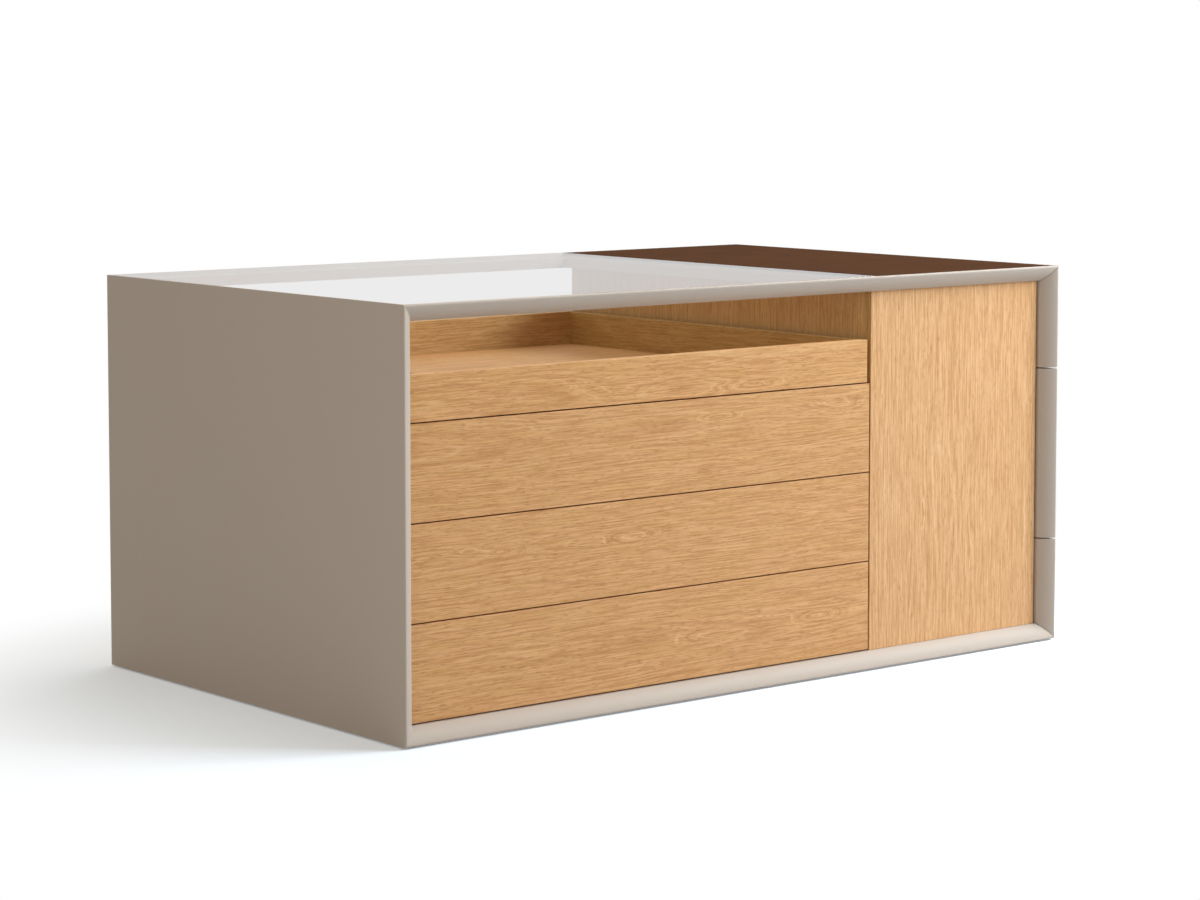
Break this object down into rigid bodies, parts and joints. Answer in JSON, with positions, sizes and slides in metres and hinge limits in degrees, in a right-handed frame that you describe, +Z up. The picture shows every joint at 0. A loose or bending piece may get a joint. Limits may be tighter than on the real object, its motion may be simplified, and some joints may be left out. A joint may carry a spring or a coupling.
{
  "type": "closet island",
  "caption": "Low lacquered wardrobe island with a glass top over an open display tray, oak drawers in front, a leather-covered top part and mitred end drawers.",
  "frame": {"origin": "on the floor under the middle of the island", "axes": "+X to the right along the long front, +Y to the rear, +Z up; the front with the oak drawers faces -Y"},
  "size_m": [1.6, 0.96, 0.75],
  "materials": {
    "lacquer": "matt taupe lacquer",
    "oak": "matt oiled oak veneer, grain level",
    "oak_upright": "matt oiled oak veneer, grain upright",
    "brown_leather": "smooth matt leather",
    "glass": "clear, polished",
    "clear_pad": "clear silicone",
    "runner_steel": "zinc-plated",
    "glide_plastic": "black nylon"
  },
  "bodies": {
    "carcass": {"side_panel_left": "lacquer", "bottom_board": "lacquer", "top_board": "lacquer", "glass_top": "glass", "glass_pads": "clear_pad", "top_inlay": "brown_leather", "gable_left": "oak", "divider": "oak_upright", "front_board_right": "oak_upright", "rear_board_right": "oak_upright", "rear_panel": "oak", "glides": "glide_plastic", "runners_fixed_front": "runner_steel", "runners_fixed_end": "runner_steel"},
    "drawer_1": {"drawer_1_front": "oak", "drawer_1_sides": "oak", "drawer_1_back": "oak", "drawer_1_base": "oak", "drawer_1_runners": "runner_steel"},
    "drawer_1_mids": {"drawer_1_runner_mids": "runner_steel"},
    "drawer_2": {"drawer_2_front": "oak", "drawer_2_sides": "oak", "drawer_2_back": "oak", "drawer_2_base": "oak", "drawer_2_runners": "runner_steel"},
    "drawer_2_mids": {"drawer_2_runner_mids": "runner_steel"},
    "drawer_3": {"drawer_3_front": "oak", "drawer_3_sides": "oak", "drawer_3_back": "oak", "drawer_3_base": "oak", "drawer_3_runners": "runner_steel"},
    "drawer_3_mids": {"drawer_3_runner_mids": "runner_steel"},
    "tray": {"tray_front": "oak", "tray_sides": "oak", "tray_back": "oak", "tray_base": "oak", "tray_runners": "runner_steel"},
    "tray_mids": {"tray_runner_mids": "runner_steel"},
    "end_drawer_1": {"end_drawer_1_front": "lacquer", "end_drawer_1_sides": "oak", "end_drawer_1_back": "oak", "end_drawer_1_base": "oak", "end_drawer_1_runners": "runner_steel"},
    "end_drawer_1_mids": {"end_drawer_1_runner_mids": "runner_steel"},
    "end_drawer_2": {"end_drawer_2_front": "lacquer", "end_drawer_2_sides": "oak", "end_drawer_2_back": "oak", "end_drawer_2_base": "oak", "end_drawer_2_runners": "runner_steel"},
    "end_drawer_2_mids": {"end_drawer_2_runner_mids": "runner_steel"},
    "end_drawer_3": {"end_drawer_3_front": "lacquer", "end_drawer_3_sides": "oak", "end_drawer_3_back": "oak", "end_drawer_3_base": "oak", "end_drawer_3_runners": "runner_steel"},
    "end_drawer_3_mids": {"end_drawer_3_runner_mids": "runner_steel"}
  },
  "joints": [
    {"name": "drawer_1_slide", "type": "slide", "parent": "carcass", "child": "drawer_1", "axis": [0, -1, 0], "range_m": [0, 0.7]},
    {"name": "drawer_1_mids_slide", "type": "slide", "parent": "carcass", "child": "drawer_1_mids", "axis": [0, -1, 0], "range_m": [0, 0.35]},
    {"name": "drawer_2_slide", "type": "slide", "parent": "carcass", "child": "drawer_2", "axis": [0, -1, 0], "range_m": [0, 0.7]},
    {"name": "drawer_2_mids_slide", "type": "slide", "parent": "carcass", "child": "drawer_2_mids", "axis": [0, -1, 0], "range_m": [0, 0.35]},
    {"name": "drawer_3_slide", "type": "slide", "parent": "carcass", "child": "drawer_3", "axis": [0, -1, 0], "range_m": [0, 0.7]},
    {"name": "drawer_3_mids_slide", "type": "slide", "parent": "carcass", "child": "drawer_3_mids", "axis": [0, -1, 0], "range_m": [0, 0.35]},
    {"name": "tray_slide", "type": "slide", "parent": "carcass", "child": "tray", "axis": [0, -1, 0], "range_m": [0, 0.7]},
    {"name": "tray_mids_slide", "type": "slide", "parent": "carcass", "child": "tray_mids", "axis": [0, -1, 0], "range_m": [0, 0.35]},
    {"name": "end_drawer_1_slide", "type": "slide", "parent": "carcass", "child": "end_drawer_1", "axis": [1, 0, 0], "range_m": [0, 0.4]},
    {"name": "end_drawer_1_mids_slide", "type": "slide", "parent": "carcass", "child": "end_drawer_1_mids", "axis": [1, 0, 0], "range_m": [0, 0.2]},
    {"name": "end_drawer_2_slide", "type": "slide", "parent": "carcass", "child": "end_drawer_2", "axis": [1, 0, 0], "range_m": [0, 0.4]},
    {"name": "end_drawer_2_mids_slide", "type": "slide", "parent": "carcass", "child": "end_drawer_2_mids", "axis": [1, 0, 0], "range_m": [0, 0.2]},
    {"name": "end_drawer_3_slide", "type": "slide", "parent": "carcass", "child": "end_drawer_3", "axis": [1, 0, 0], "range_m": [0, 0.4]},
    {"name": "end_drawer_3_mids_slide", "type": "slide", "parent": "carcass", "child": "end_drawer_3_mids", "axis": [1, 0, 0], "range_m": [0, 0.2]}
  ],
  "couplings": [
    {"joint": "drawer_1_mids_slide", "follows": "drawer_1_slide", "ratio": 0.5},
    {"joint": "drawer_2_mids_slide", "follows": "drawer_2_slide", "ratio": 0.5},
    {"joint": "drawer_3_mids_slide", "follows": "drawer_3_slide", "ratio": 0.5},
    {"joint": "tray_mids_slide", "follows": "tray_slide", "ratio": 0.5},
    {"joint": "end_drawer_1_mids_slide", "follows": "end_drawer_1_slide", "ratio": 0.5},
    {"joint": "end_drawer_2_mids_slide", "follows": "end_drawer_2_slide", "ratio": 0.5},
    {"joint": "end_drawer_3_mids_slide", "follows": "end_drawer_3_slide", "ratio": 0.5}
  ]
}
